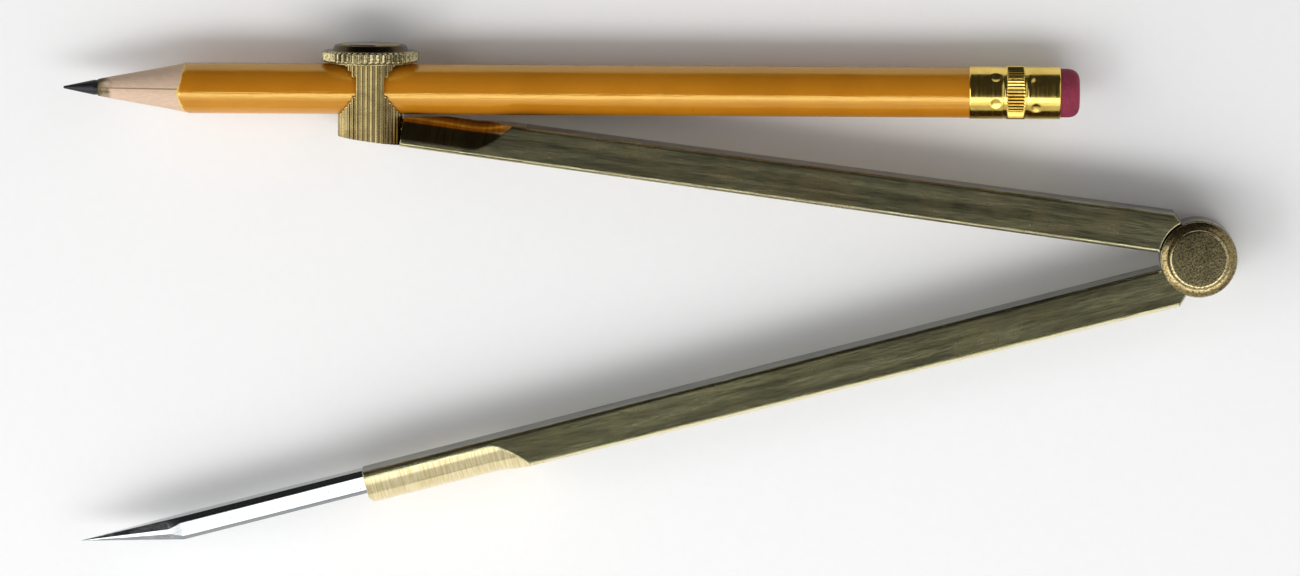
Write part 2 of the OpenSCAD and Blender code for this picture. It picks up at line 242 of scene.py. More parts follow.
def make_brushed():
    """Lines along the vector's first axis: noise squeezed across them, coarse and fine mixed."""
    group, given, result = start_group(
        "brushed_lines",
        [("Vector", "NodeSocketVector", None), ("Lines", "NodeSocketFloat", 9000.0),
         ("Length", "NodeSocketFloat", 60.0)],
        ["Lines", "Streaks"])
    for label, share, detail in (("Lines", 1.0, 3.0), ("Streaks", 0.16, 2.0)):
        across = math(group, "MULTIPLY", given["Lines"], share)
        along = math(group, "DIVIDE", across, given["Length"])
        squeeze = put(group, "ShaderNodeCombineXYZ", {0: along, 1: across, 2: across}).outputs[0]
        place = put(group, "ShaderNodeVectorMath", {0: given["Vector"], 1: squeeze}, operation="MULTIPLY").outputs[0]
        noise = put(group, "ShaderNodeTexNoise", {"Vector": place, "Scale": 1.0, "Detail": detail, "Roughness": 0.6})
        group.links.new(remap(group, noise.outputs["Fac"], 0.28, 0.72), result[label])
    return group


def make_tarnish():
    """Soft patches where skin oil and air have dulled the metal: two sizes of noise, thresholded softly."""
    group, given, result = start_group(
        "tarnish", [("Vector", "NodeSocketVector", None), ("Scale", "NodeSocketFloat", 250.0),
                    ("Edge", "NodeSocketFloat", 0.5), ("Softness", "NodeSocketFloat", 0.2)], ["Tarnish"])
    large = put(group, "ShaderNodeTexNoise", {"Vector": given["Vector"], "Scale": given["Scale"], "Detail": 6.0,
                                              "Roughness": 0.62, "Distortion": 0.4}).outputs["Fac"]
    low = math(group, "SUBTRACT", given["Edge"], given["Softness"])
    high = math(group, "ADD", given["Edge"], given["Softness"])
    group.links.new(remap(group, large, low, high), result["Tarnish"])
    return group


def make_nicks():
    """Small dents at random: the nearest cell point's distance, kept only for a share of the cells."""
    group, given, result = start_group(
        "nicks", [("Vector", "NodeSocketVector", None), ("Scale", "NodeSocketFloat", 1500.0),
                  ("Share", "NodeSocketFloat", 0.25), ("Size", "NodeSocketFloat", 0.3)], ["Nicks"])
    cells = put(group, "ShaderNodeTexVoronoi", {"Vector": given["Vector"], "Scale": given["Scale"]})
    pick = put(group, "ShaderNodeSeparateColor", {0: cells.outputs["Color"]}).outputs[0]
    kept = math(group, "LESS_THAN", pick, given["Share"])
    round_spot = remap(group, math(group, "DIVIDE", cells.outputs["Distance"], given["Size"]), 0.4, 1.0, 1.0, 0.0)
    group.links.new(math(group, "MULTIPLY", kept, round_spot), result["Nicks"])
    return group


brushed_lines, tarnish, nicks = make_brushed(), make_tarnish(), make_nicks()
print("groups", brushed_lines.name, tarnish.name, nicks.name)

# %% A material to fill


def start_material(name):
    """A new material with its node tree, its Principled shader and the piece's own coordinates."""
    made = bpy.data.materials.new(name)
    made.use_nodes = True
    tree = made.node_tree
    shader = next(n for n in tree.nodes if n.type == "BSDF_PRINCIPLED")
    return made, tree, shader, put(tree, "ShaderNodeTexCoord").outputs["Object"]


def fill_group(tree, group, inputs):
    """A group node with its inputs joined or filled."""
    return put(tree, "ShaderNodeGroup", inputs, node_tree=group)


def finish_shader(tree, shader, colour, roughness, height, depth, edge=0.0):
    """Joins colour, roughness and a bump of the given depth in metres to the shader.
    With a radius edge, sharp edges shade as if a file had broken them to that radius."""
    tree.links.new(colour, shader.inputs["Base Color"])
    tree.links.new(roughness, shader.inputs["Roughness"])
    bump = put(tree, "ShaderNodeBump", {"Height": height, "Distance": depth, "Strength": 1.0})
    tree.links.new(bump.outputs["Normal"], shader.inputs["Normal"])
    if edge:
        broken = put(tree, "ShaderNodeBevel", {"Radius": edge}, samples=6)
        tree.links.new(broken.outputs["Normal"], bump.inputs["Normal"])


# %% [markdown]
# ## Leg brass
# The legs are drawn bar, brushed along their length and then darkened by years of hands. The brushing
# has to follow each leg, so a Mapping node turns the pattern by the leg's own angle. The same turned
# coordinates tell the narrow sides, the turned end and the edges apart. Light and shade are painted there: dark narrow
# sides, a bright edge on the side towards the light, and a turned end that is bright on one leg and dark on the other.

# %% Zones of a leg
NEEDLE_TURN, PENCIL_TURN = 194.6, 172.35
LEG_HALF, TURNED_FROM, CLOSING_SKIN = (leg_high[2] - leg_low[2]) / 2, 91.6, 0.3


def leg_zones(tree, along, lit_edge_from):
    """Shares of the turned end, of the narrow sides that get painted shade, and of the edge that gets a painted
    highlight, from the place along, across and through the leg.
    The highlight is painted only on the edge towards the light: where the place across, in millimetres, is past the
    limit given."""
    part = put(tree, "ShaderNodeSeparateXYZ", {0: along}).outputs
    from_middle = math(tree, "ABSOLUTE", math(tree, "SUBTRACT", part[2], mid_z * MM))
    below_face = remap(tree, from_middle, (LEG_HALF - 0.06) * MM, (LEG_HALF - 0.02) * MM, 1.0, 0.0)
    off_closing = math(tree, "GREATER_THAN", math(tree, "ABSOLUTE", part[1]), CLOSING_SKIN * MM)
    round_end = times(tree, math(tree, "GREATER_THAN", part[0], TURNED_FROM * MM), times(tree, below_face, off_closing))
    elsewhere = math(tree, "SUBTRACT", 1.0, round_end)
    # painted shade: the narrow sides are picked out to be darkened in colour, as they face away from the light
    painted_side_shade = times(tree, elsewhere, remap(tree, from_middle, (LEG_HALF - 0.42) * MM, (LEG_HALF - 0.34) * MM, 1.0, 0.0))
    on_edge = times(tree, remap(tree, from_middle, (LEG_HALF - 0.4) * MM, (LEG_HALF - 0.34) * MM), below_face)
    # painted highlight: only the edge on the side towards the light is picked out to be coloured bright
    painted_edge_light = times(tree, on_edge, math(tree, "GREATER_THAN", part[1], lit_edge_from * MM))
    return round_end, painted_side_shade, times(tree, painted_edge_light, elsewhere)


print("half the legs' thickness", round(LEG_HALF, 2), "mm")

# %% Brass of the legs
OLD_BRASS, DULL_BRASS = shade(208, 204, 162), shade(112, 114, 84)
# Painted light: a bright colour for the edge towards the light, and a dark colour streaked over the shaded narrow
# sides.
PAINTED_HIGHLIGHT_BRASS, SIDE_SHADE_STREAK = shade(248, 236, 196), shade(44, 40, 34)
FILED_EDGE = 0.0003


def leg_brass(name, turn, lit_edge_from, warm, side, end_light_or_shade, end_marks_light_or_shade):
    """Brushed brass whose lines run at turn degrees; warm leans the dull patches to brown. The narrow sides are painted
    with shade, the colour side streaked darker, as they face away from the light. The turned end's two colours, a plain
    one and one for marks running round it, are painted light or shade, and the edge towards the light gets a painted
    highlight."""
    made, tree, shader, here = start_material(name)
    along = put(tree, "ShaderNodeMapping", {"Vector": here, "Rotation": (0, 0, -np.radians(turn))}).outputs[0]
    round_end, painted_side_shade, painted_edge_light = leg_zones(tree, along, lit_edge_from)
    lines = fill_group(tree, brushed_lines, {"Vector": along, "Lines": 5600.0, "Length": 16.0}).outputs
    patches = fill_group(tree, tarnish, {"Vector": along, "Scale": 160.0, "Edge": 0.52, "Softness": 0.2}).outputs[0]
    specks = fill_group(tree, nicks, {"Vector": along, "Scale": 900.0, "Share": 0.08, "Size": 0.22}).outputs[0]
    squeezed = put(tree, "ShaderNodeVectorMath", {0: along, 1: (4200.0, 260.0, 260.0)}, operation="MULTIPLY")
    marks = put(tree, "ShaderNodeTexNoise", {"Vector": squeezed.outputs[0], "Scale": 1.0, "Detail": 3.0}).outputs["Fac"]
    metal = blend(tree, patches, OLD_BRASS, warm)
    metal = blend(tree, times(tree, lines["Lines"], 0.75), metal, DULL_BRASS)
    metal = blend(tree, times(tree, specks, 0.5), metal, shade(70, 60, 40))
    # the turned end takes the colours given, which are painted light on one leg and painted shade on the other
    metal = blend(tree, round_end, metal, blend(tree, remap(tree, marks, 0.35, 0.68), end_light_or_shade, end_marks_light_or_shade))
    # painted shade on the narrow sides
    metal = blend(tree, painted_side_shade, metal, blend(tree, times(tree, lines["Streaks"], 0.35), side, SIDE_SHADE_STREAK))
    # painted highlight on the edge towards the light
    metal = blend(tree, painted_edge_light, metal, PAINTED_HIGHLIGHT_BRASS)
    rough = math(tree, "ADD", times(tree, lines["Streaks"], 0.06),
                 times(tree, math(tree, "SUBTRACT", patches, round_end), 0.07))
    height = blend(tree, round_end, lines["Lines"], times(tree, marks, 0.35))
    height = math(tree, "SUBTRACT", height, times(tree, specks, 2.0))
    finish_shader(tree, shader, metal, math(tree, "ADD", rough, 0.175), height, 0.0000025, FILED_EDGE)
    shader.inputs["Metallic"].default_value = 1.0
    return made


# The needle leg's turned end is painted bright as a highlight and its sides grey as shade; the pencil leg's end and
# sides are painted dark as shade. Each leg's highlighted edge is the one towards the light.
needle_brass = leg_brass("needle_leg_brass", NEEDLE_TURN, 2.5, warm=shade(156, 148, 108), side=shade(104, 108, 102),
                         end_light_or_shade=shade(244, 230, 186), end_marks_light_or_shade=shade(222, 204, 152))
pencil_brass = leg_brass("pencil_leg_brass", PENCIL_TURN, -2.5, warm=shade(160, 144, 106), side=shade(80, 62, 46),
                         end_light_or_shade=shade(150, 128, 84), end_marks_light_or_shade=shade(120, 100, 62))
print("leg brass ready")

# %% [markdown]
# ## Legs
# The bars' shapes are right in the solids. Shut, the two legs were turned as one bar, so each has half of
# a round end. A merged copy lets light roll over that end, and a small crease angle, with normals
# weighted by the faces' areas, keeps the flat faces flat beside it.

# %% Dressed copies of the legs


def dressed_copy(name, node, body, material, crease):
    """A copy of a solid's mesh with its loose triangles merged and smoothed up to the crease angle."""
    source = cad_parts[node].data
    count = len(source.vertices)
    points = np.empty(count * 3)
    source.vertices.foreach_get("co", points)
    corners = np.empty(len(source.loops), int)
    source.loops.foreach_get("vertex_index", corners)
    piece = make_piece(name, points.reshape(-1, 3) / MM, corners.reshape(-1, 3), body, [node], material, crease)
    piece.modifiers.new("flat_faces_stay_flat", "WEIGHTED_NORMAL").keep_sharp = True


LEG_CREASE = 9.0
dressed_copy("brushed_needle_leg", "needle_leg", "needle_arm", needle_brass, LEG_CREASE)
dressed_copy("brushed_pencil_leg", "pencil_leg", "pencil_arm", pencil_brass, LEG_CREASE)

# %% [markdown]
# ## Turned brass
# The hinge's discs and the clamp nut were faced on a lathe. Their faces keep the tool's fine rings,
# which pull a reflection into two fans of light. The rings are a bump on the distance from the axis.

# %% Brass with turning rings


def turned_brass(name, axis, centre, bright, dull, shaded_from=1000.0, ring=0.11, mottling=0.4, rough=0.22):
    """Brass with rings every ring millimetres round an axis through centre, and mottled by wear. Above the height
    given on the axis it is painted dark, as shade."""
    made, tree, shader, here = start_material(name)
    middle_at = tuple(np.asarray(centre) * MM)
    off = put(tree, "ShaderNodeVectorMath", {0: here, 1: middle_at}, operation="SUBTRACT").outputs[0]
    flat = put(tree, "ShaderNodeVectorMath", {0: off, 1: tuple(1.0 - AXES[axis][2])}, operation="MULTIPLY").outputs[0]
    radius = put(tree, "ShaderNodeVectorMath", {0: flat}, operation="LENGTH").outputs["Value"]
    swirl = put(tree, "ShaderNodeCombineXYZ", {0: times(tree, radius, 1 / (ring * MM))}).outputs[0]
    rings = put(tree, "ShaderNodeTexNoise", {"Vector": swirl, "Scale": 1.0, "Detail": 2.0}).outputs["Fac"]
    patches = fill_group(tree, tarnish, {"Vector": here, "Scale": 520.0, "Edge": 0.5, "Softness": 0.14}).outputs[0]
    specks = fill_group(tree, nicks, {"Vector": here, "Scale": 1300.0, "Share": 0.22, "Size": 0.3}).outputs[0]
    metal = blend(tree, times(tree, patches, mottling), bright, dull)
    metal = blend(tree, times(tree, specks, 0.45), metal, shade(80, 66, 45))
    grain = put(tree, "ShaderNodeTexNoise", {"Vector": here, "Scale": 3800.0, "Detail": 4.0}).outputs["Fac"]
    metal = blend(tree, remap(tree, grain, 0.42, 0.64, 0.0, 0.75), metal, shade(70, 64, 46))
    up = put(tree, "ShaderNodeVectorMath", {0: off, 1: tuple(AXES[axis][2])}, operation="DOT_PRODUCT")
    # painted shade: above the given height on the axis the colour is darkened
    painted_shade = remap(tree, up.outputs["Value"], (shaded_from - 0.06) * MM, (shaded_from + 0.06) * MM)
    metal = blend(tree, painted_shade, metal, shade(74, 62, 44))
    height = math(tree, "ADD", times(tree, rings, 0.6), grain)
    height = math(tree, "SUBTRACT", height, times(tree, specks, 0.8))
    finish_shader(tree, shader, metal, math(tree, "ADD", times(tree, patches, 0.06), rough), height, 0.0000025)
    shader.inputs["Metallic"].default_value = 1.0
    return made


hinge_brass = turned_brass("hinge_brass", "z", (0, 0, 0), shade(204, 190, 142), shade(146, 130, 90))
rose_brass = turned_brass("rose_brass", "z", (0, 0, 0), shade(168, 150, 106), shade(124, 108, 74))
RIM_T = 1.5
# the nut's collar above its rim is painted dark as shade
nut_brass = turned_brass("nut_brass", "y", (post_x, nut_low[1], mid_z), shade(190, 178, 136), shade(148, 134, 96),
                         shaded_from=RIM_T, mottling=0.35)
print("turned brass ready")

# %% [markdown]
# ## Hinge
# A rivet with a low round head holds the two eyes between a pair of rose washers, and a cap closes it
# behind. Each is a short profile with eased edges, carried round the hinge axis.

# %% Rivet, roses and cap
head_low, head_high = box_mm("hinge_rivet")
front_low, front_high = box_mm("front_rose")
rear_low, rear_high = box_mm("rear_rose")
cap_low, cap_high = box_mm("rear_rivet_cap")
HEAD_R, ROSE_R, SHANK_R = head_high[0], front_high[0], 1.5
head_h, rose_h = head_high[2] - front_high[2], front_high[2] - front_low[2]
EASE = 0.8 * head_h
print("head", round(HEAD_R, 2), "by", round(head_h, 2), "mm, rose", round(ROSE_R, 2), "by", round(rose_h, 2), "mm")

rivet = softened([(0, head_low[2], 0), (SHANK_R, head_low[2], 0.1), (SHANK_R, front_high[2], 0.02),
                  (HEAD_R, front_high[2], 0.04), (HEAD_R, head_high[2], EASE), (0, head_high[2], 0)], 12)
make_piece("hinge_rivet_turned", turned(rivet, 192, "z", (0, 0, 0)), grid_faces(len(rivet), 192, wrap_cols=True),
           "pencil_arm", ["hinge_rivet"], hinge_brass)


def rose_washer(name, node, face_z, back_z):
    """A ring whose outer edge is rounded well over on the side of face_z."""
    shoulder = back_z + 0.42 * (face_z - back_z)
    ring = softened([(SHANK_R + 0.02, back_z, 0), (ROSE_R, back_z, 0.05), (ROSE_R, shoulder, 0.16 * rose_h),
                     (ROSE_R - 0.75, face_z, 0.5 * rose_h), (SHANK_R + 0.02, face_z, 0)], 10)
    make_piece(name, turned(ring, 192, "z", (0, 0, 0)), grid_faces(len(ring), 192, True, True),
               "pencil_arm", [node], rose_brass)


rose_washer("front_rose_turned", "front_rose", front_high[2], front_low[2])
rose_washer("rear_rose_turned", "rear_rose", rear_low[2], rear_high[2])
cap = softened([(0, cap_low[2], 0), (HEAD_R, cap_low[2], EASE), (HEAD_R, cap_high[2], 0.04),
                (SHANK_R + 0.02, cap_high[2], 0.03), (SHANK_R + 0.02, head_low[2] - 0.02, 0),
                (0, head_low[2] - 0.02, 0)], 8)
make_piece("rear_cap_turned", turned(cap, 192, "z", (0, 0, 0)), grid_faces(len(cap), 192, wrap_cols=True),
           "pencil_arm", ["rear_rivet_cap"], hinge_brass)
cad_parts["lap_washer"].data.materials.clear()
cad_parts["lap_washer"].data.materials.append(hinge_brass)

# %% [markdown]
# ## Clamp nut and washer
# The nut's rim is straight knurled so that fingers can turn it. A knurl is a row of rounded ridges:
# the radius never rises above the ridge curve, and the chamfers cut the ridges off at both ends.

# %% Knurled nut
NUT_R, BORE_R, FLUTES = (nut_high[0] - nut_low[0]) / 2, 4.17, 50
COLLAR_FOOT_R, COLLAR_TOP_R = 5.15, 4.75
nut_h = nut_high[1] - nut_low[1]


def knurl(radius, height, angle):
    """How far the rim is cut at an angle: up to the ridge curve, a row of pointed waves 0.24 mm deep."""
    ridge = NUT_R - 0.24 * np.abs(np.cos(FLUTES * angle / 2)) ** 1.4
    return np.maximum(radius - ridge, 0)


nut = softened([(BORE_R, 0.2, 0), (BORE_R + 0.2, 0, 0), (NUT_R - 0.32, 0, 0.04), (NUT_R, 0.26, 0.05),
                (NUT_R, RIM_T - 0.26, 0.05), (NUT_R - 0.32, RIM_T, 0.04), (COLLAR_FOOT_R, RIM_T, 0.05),
                (COLLAR_TOP_R, nut_h, 0.1), (BORE_R + 0.2, nut_h, 0), (BORE_R, nut_h - 0.2, 0)], 6)
make_piece("knurled_nut", turned(nut, FLUTES * 12, "y", (post_x, nut_low[1], mid_z), knurl),
           grid_faces(len(nut), FLUTES * 12, True, True), "clamp_nut", ["clamp_nut"], nut_brass, 40.0)

washer_low, washer_high = box_mm("pressure_washer")
WASHER_R = (washer_high[0] - washer_low[0]) / 2
ring = softened([(BORE_R, washer_low[1], 0.03), (WASHER_R, washer_low[1], 0.08), (WASHER_R, washer_high[1], 0.08),
                 (BORE_R, washer_high[1], 0.03)], 6)
make_piece("pressure_ring", turned(ring, 160, "y", (post_x, 0, mid_z)), grid_faces(len(ring), 160, True, True),
           "clamp_washer", ["pressure_washer"], nut_brass)

# %% [markdown]
# ## Ribbed post
# The post is a fluted round bar with a cross hole that the pencil passes through, so its front and
# rear are waisted webs. Its wall is a grid of heights and angles. Where a grid point would lie in the
# hole it is moved to the hole's rim, and a second grid, ruled from rim to rim, lines the hole.

# %% Brass of the post


def ribbed_brass(name):
    """Satin brass with fine turning marks across the ribs."""
    made, tree, shader, here = start_material(name)
    lift = put(tree, "ShaderNodeVectorMath", {0: here, 1: (260.0, 5200.0, 260.0)}, operation="MULTIPLY").outputs[0]
    marks = put(tree, "ShaderNodeTexNoise", {"Vector": lift, "Scale": 1.0, "Detail": 3.0}).outputs["Fac"]
    patches = fill_group(tree, tarnish, {"Vector": here, "Scale": 420.0, "Edge": 0.52, "Softness": 0.15}).outputs[0]
    metal = blend(tree, times(tree, patches, 0.6), shade(170, 152, 104), shade(120, 104, 68))
    metal = blend(tree, remap(tree, marks, 0.5, 0.72, 0.0, 0.3), metal, shade(96, 84, 54))
    finish_shader(tree, shader, metal, remap(tree, marks, 0.3, 0.7, 0.2, 0.3), marks, 0.000004)
    shader.inputs["Metallic"].default_value = 1.0
    return made


post_brass = ribbed_brass("post_brass")

# %% Wall, hole and thread of the post
post_low, post_high = box_mm("clamp_post")
POST_R, RIBS, RIB_DEPTH = (post_high[0] - post_low[0]) / 2, 38, 0.17
HOLE_R, THREAD_R, PITCH = 3.9, 4.11, 0.75
hole_y, rib_top = pencil_y + 0.44, pencil_y + 3.4
leg_slope = np.tan(np.radians(PENCIL_TURN))


def post_radius(height, angle):
    """Ribs below: the radius less a row of rounded grooves. Thread above: the radius less a wave that climbs
    one pitch a turn."""
    grooves = POST_R - RIB_DEPTH * np.abs(np.sin(RIBS * angle / 2)) ** 3
    climb = (height - rib_top) / PITCH - angle / (2 * np.pi)
    fade = np.clip((height - hole_y - HOLE_R - 0.1) / 0.2, 0, 1) * np.clip((post_high[1] - 0.15 - height) / 0.2, 0, 1)
    thread = THREAD_R - 0.4 * np.abs((climb % 1.0) - 0.5) * fade - 0.3 * np.clip(height - post_high[1] + 0.25, 0, 1)
    return np.where(height <= rib_top, grooves, thread)


def hole_rim(edge, side):
    """For each row the angle from edge at which the wall meets the hole: the arcsine of half the hole's width over
    the wall's radius there. The radius depends on the angle, so a few rounds settle both."""
    rim = np.zeros((len(levels), 1))
    for _ in range(80):
        there = post_radius(levels[:, None], edge + side * rim)
        rim = 0.7 * rim + 0.3 * np.arcsin(np.clip(hole_half[:, None] / there, 0, 1))
    return rim


def post_wall(start, half):
    """Half of the wall: rows of heights, columns of angles from start over 180 degrees, pushed out of the hole to its
    rim. The lowest row is slid along the axis onto the slope of the leg's inner line."""
    angle = start + np.linspace(0, np.pi, half)[None, :]
    angle = np.clip(angle, start + hole_rim(start, 1), start + np.pi - hole_rim(start + np.pi, -1))
    radius = post_radius(levels[:, None], angle)
    x, z = radius * np.cos(angle), radius * np.sin(angle)
    floor_y = foot_y + x * leg_slope
    low, hole_low = levels[0], hole_y - HOLE_R
    rise = np.clip((levels[:, None] - low) / (hole_low - low), 0, 1)
    y = np.where(levels[:, None] < hole_low, floor_y + rise * (hole_low - floor_y), levels[:, None] + 0 * x)
    return np.stack((x + post_x, y, z + mid_z), axis=-1)


foot_y = post_x * leg_slope + 0.1
levels = np.concatenate((np.linspace(foot_y, hole_y - HOLE_R, 12)[:-1],
                         hole_y + HOLE_R * np.sin(np.linspace(-np.pi / 2, np.pi / 2, 97)),
                         np.linspace(hole_y + HOLE_R, post_high[1], 64)[1:]))
levels = np.sort(np.concatenate((levels, [rib_top, rib_top + 0.0005])))
hole_half = np.sqrt(np.clip(HOLE_R ** 2 - (levels - hole_y) ** 2, 0, None))
HALF = RIBS * 5 + 1
front, rear = post_wall(0.0, HALF), post_wall(np.pi, HALF)
across = np.linspace(0, 1, 9)[None, :, None]
touch = np.flatnonzero(hole_half > 0.001)
span = np.arange(touch[0] - 1, touch[-1] + 2)
lining_front = front[span, :1] * (1 - across) + front[span, -1:] * across
lining_rear = rear[span, -1:] * (1 - across) + rear[span, :1] * across
foot = np.concatenate((front[0], rear[0, 1:-1]))
top = np.concatenate((front[-1], rear[-1, 1:-1]))
foot_mid, top_mid = foot.mean(axis=0), top.mean(axis=0)
sheets = [front, rear, lining_front, lining_rear,
          np.stack((foot, np.tile(foot_mid, (len(foot), 1)))), np.stack((top, np.tile(top_mid, (len(top), 1))))]
points, faces, first = [], [], 0
for sheet in sheets:
    closed = len(sheet) == 2
    points.append(sheet.reshape(-1, 3))
    faces.append(grid_faces(sheet.shape[0], sheet.shape[1], wrap_cols=closed) + first)
    first += sheet.shape[0] * sheet.shape[1]
make_piece("ribbed_post", np.concatenate(points), np.concatenate(faces), "pencil_arm",
           ["clamp_post"], post_brass, 40.0)

# %% [markdown]
# ## Steel point
# The needle is a bar with bevelled sides, ground to a tip on its flat inner side. Seen end-on its outline
# is the nearer of two curves, the bar's bevels and the grinding cone, so one formula gives the whole length.

# %% Polished steel


def point_steel_finish(name):
    """Polished steel with faint draw lines along the bar."""
    made, tree, shader, here = start_material(name)
    along = put(tree, "ShaderNodeMapping", {"Vector": here, "Rotation": (0, 0, -np.radians(NEEDLE_TURN))}).outputs[0]
    lines = fill_group(tree, brushed_lines, {"Vector": along, "Lines": 12000.0, "Length": 120.0}).outputs
    specks = fill_group(tree, nicks, {"Vector": along, "Scale": 1400.0, "Share": 0.1, "Size": 0.25}).outputs[0]
    metal = blend(tree, lines["Streaks"], shade(196, 200, 202), shade(168, 172, 174))
    metal = blend(tree, times(tree, specks, 0.6), metal, shade(90, 84, 78))
    finish_shader(tree, shader, metal, remap(tree, lines["Streaks"], 0.0, 1.0, 0.1, 0.2), lines["Lines"], 0.000002)
    shader.inputs["Metallic"].default_value = 1.0
    return made


steel = point_steel_finish("point_steel")

# %% Bevelled point with its tang
BAR_H, BAR_W, TAPER, TIP_R, TANG_R, TANG_L, TANG_V = 3.1, 6.0, 13.8, 0.05, 0.9, 8.0, 1.8
turn = np.radians(NEEDLE_TURN)
needle_u = np.array([np.cos(turn), np.sin(turn), 0])
needle_v = np.array([-np.sin(turn), np.cos(turn), 0])
INNER_V, LEG_L, REACH = 0.1, 115.7, 154.7
exposed = REACH - LEG_L


def section(share):
    """Half of the bar's outline, from its inner face over the flank and the broad face to its back, scaled by share.
    On the ground tip the flank and the lower bevel widen, and the broad face between them narrows to a wedge.
    Both outlines are shares of the bar's height and width."""
    share = np.asarray(share, float)[:, None]
    ground = np.clip((1 - share) / 0.12, 0, 1)
    bar = np.array([[0, 0.26, 0.84, 1], [0.417, 0.5, 0.425, 0.36]])
    tip = np.array([[0, 0.46, 0.7, 1], [0.417, 0.5, 0.474, 0.343]])
    height, width = ((1 - ground) * bar[i] + ground * tip[i] for i in (0, 1))
    return height * share * BAR_H, width * share * BAR_W


def fill_sides(corner, steps):
    """Points on the straight lines between a row's corners."""
    t = np.linspace(0, 1, steps, endpoint=False)[None, None, :]
    start, end = corner[:, :-1, None], corner[:, 1:, None]
    return np.concatenate(((start + (end - start) * t).reshape(len(corner), -1), corner[:, -1:]), axis=1)


station = np.concatenate(([0.0, 0.06], np.linspace(1, exposed - TAPER, 20),
                          np.linspace(exposed - TAPER, exposed, 91)[1:-1]))
share = np.minimum(1, (exposed - station) / TAPER + TIP_R / BAR_H)
share[0] = 0.985
half_v, half_z = section(share)
edge_v = np.concatenate((half_v, half_v[:, ::-1], half_v[:, :1]), axis=1)
edge_z = np.concatenate((half_z, -half_z[:, ::-1], half_z[:, :1]), axis=1)
sec_v, sec_z = fill_sides(edge_v, 8)[:, :-1] + INNER_V, fill_sides(edge_z, 8)[:, :-1]
sec_u = np.repeat(station[:, None] + LEG_L, sec_v.shape[1], axis=1)
toward = np.stack((sec_v[0] - TANG_V, sec_z[0]), axis=-1)
toward = TANG_R * toward / np.linalg.norm(toward, axis=1, keepdims=True)
tang_rows = np.array([[0.0, -TANG_L], [0.8, -TANG_L], [1.0, -TANG_L + 0.2], [1.0, 0.0]])
tang_v = TANG_V + tang_rows[:, :1] * toward[:, 0]
tang_z = tang_rows[:, :1] * toward[:, 1]
tang_u = np.repeat(tang_rows[:, 1:] + LEG_L, len(toward), axis=1)
all_u, all_v, all_z = (np.concatenate(pair) for pair in ((tang_u, sec_u), (tang_v, sec_v), (tang_z, sec_z)))
rod = all_u[..., None] * needle_u + all_v[..., None] * needle_v + all_z[..., None] * np.array([0, 0, 1.0])
tip = np.tile(REACH * needle_u + (INNER_V + 0.01) * needle_v, (1, rod.shape[1], 1))
rod = np.concatenate((rod, tip)) + np.array([0, 0, mid_z])
make_piece("ground_steel_point", rod.reshape(-1, 3), grid_faces(rod.shape[0], rod.shape[1], wrap_cols=True),
           "needle_arm", ["steel_point"], steel, 6.0)

# %% [markdown]
# ## Pencil
# A pencil is two grooved slats glued round a lead, turned round, lacquered and sharpened. The lacquer
# ends where the sharpener's cone has cut it away. The cone is never quite true to the barrel, so that
# edge wanders a little, and the bare wood in front of it shows the glue line between the slats.

# %% Lacquer over wood
BARREL_R, CONE_L, LEAD_R, TIP_LEAD_R, FERRULE_S, NECK_R = 3.4, 15.5, 1.0, 0.15, 121.4, 3.28


def lacquered(name):
    """Lacquer where the radius is the barrel's, bare wood with grain along the pencil where the cone has cut deeper."""
    made, tree, shader, here = start_material(name)
    off = put(tree, "ShaderNodeVectorMath", {0: here, 1: (tip_x * MM, pencil_y * MM, mid_z * MM)},
              operation="SUBTRACT").outputs[0]
    part = put(tree, "ShaderNodeSeparateXYZ", {0: off}).outputs
    radius = math(tree, "SQRT", math(tree, "ADD", times(tree, part[1], part[1]),
                                     times(tree, part[2], part[2])))
    ragged = put(tree, "ShaderNodeTexNoise", {"Vector": off, "Scale": 900.0, "Detail": 4.0}).outputs["Fac"]
    edge = math(tree, "ADD", radius, times(tree, math(tree, "SUBTRACT", ragged, 0.5), 0.00013))
    coat = remap(tree, edge, 0.00332, 0.00335)
    coat = math(tree, "MAXIMUM", coat, math(tree, "GREATER_THAN", part[0], 0.03))
    grain = fill_group(tree, brushed_lines, {"Vector": off, "Lines": 6000.0, "Length": 60.0}).outputs
    wood = blend(tree, times(tree, grain["Lines"], 0.5), shade(212, 184, 168), shade(180, 148, 132))
    glue = remap(tree, math(tree, "ABSOLUTE", part[1]), 0.00005, 0.00012, 1.0, 0.0)
    wood = blend(tree, times(tree, glue, 0.8), wood, shade(96, 72, 54))
    smudge = math(tree, "ADD", part[0], times(tree, math(tree, "SUBTRACT", ragged, 0.5), 0.004))
    wood = blend(tree, remap(tree, smudge, 0.0046, 0.0064, 1.0, 0.0), wood, shade(30, 26, 34))
    patches = fill_group(tree, tarnish, {"Vector": off, "Scale": 90.0, "Edge": 0.5, "Softness": 0.25}).outputs[0]
    paint = blend(tree, patches, shade(204, 132, 30), shade(190, 120, 24))
    specks = fill_group(tree, nicks, {"Vector": off, "Scale": 700.0, "Share": 0.06, "Size": 0.12}).outputs[0]
    paint = blend(tree, times(tree, specks, 0.6), paint, shade(120, 78, 24))
    rim = remap(tree, edge, 0.00326, 0.00331)
    colour = blend(tree, coat, blend(tree, times(tree, rim, 0.8), wood, shade(226, 190, 104)), paint)
    rough = remap(tree, coat, 0.0, 1.0, 0.75, 0.1)
    height = math(tree, "ADD", times(tree, coat, 2.0), times(tree, grain["Lines"], 0.3))
    finish_shader(tree, shader, colour, rough, height, 0.00002)
    shader.inputs["IOR"].default_value = 1.75
    shader.inputs["Specular IOR Level"].default_value = 1.0
    shader.inputs["Specular Tint"].default_value = (1.0, 0.84, 0.3, 1.0)
    return made


lacquer = lacquered("pencil_lacquer")

# %% Two slats
casing_low, casing_high = box_mm("casing_upper")
slat_s = np.concatenate(([casing_low[0] - tip_x], np.linspace(5, 13.5, 30), np.linspace(13.6, 17.5, 60),
                         np.linspace(18, FERRULE_S, 60), [FERRULE_S + 0.001, casing_high[0] - tip_x]))
ARC = 241


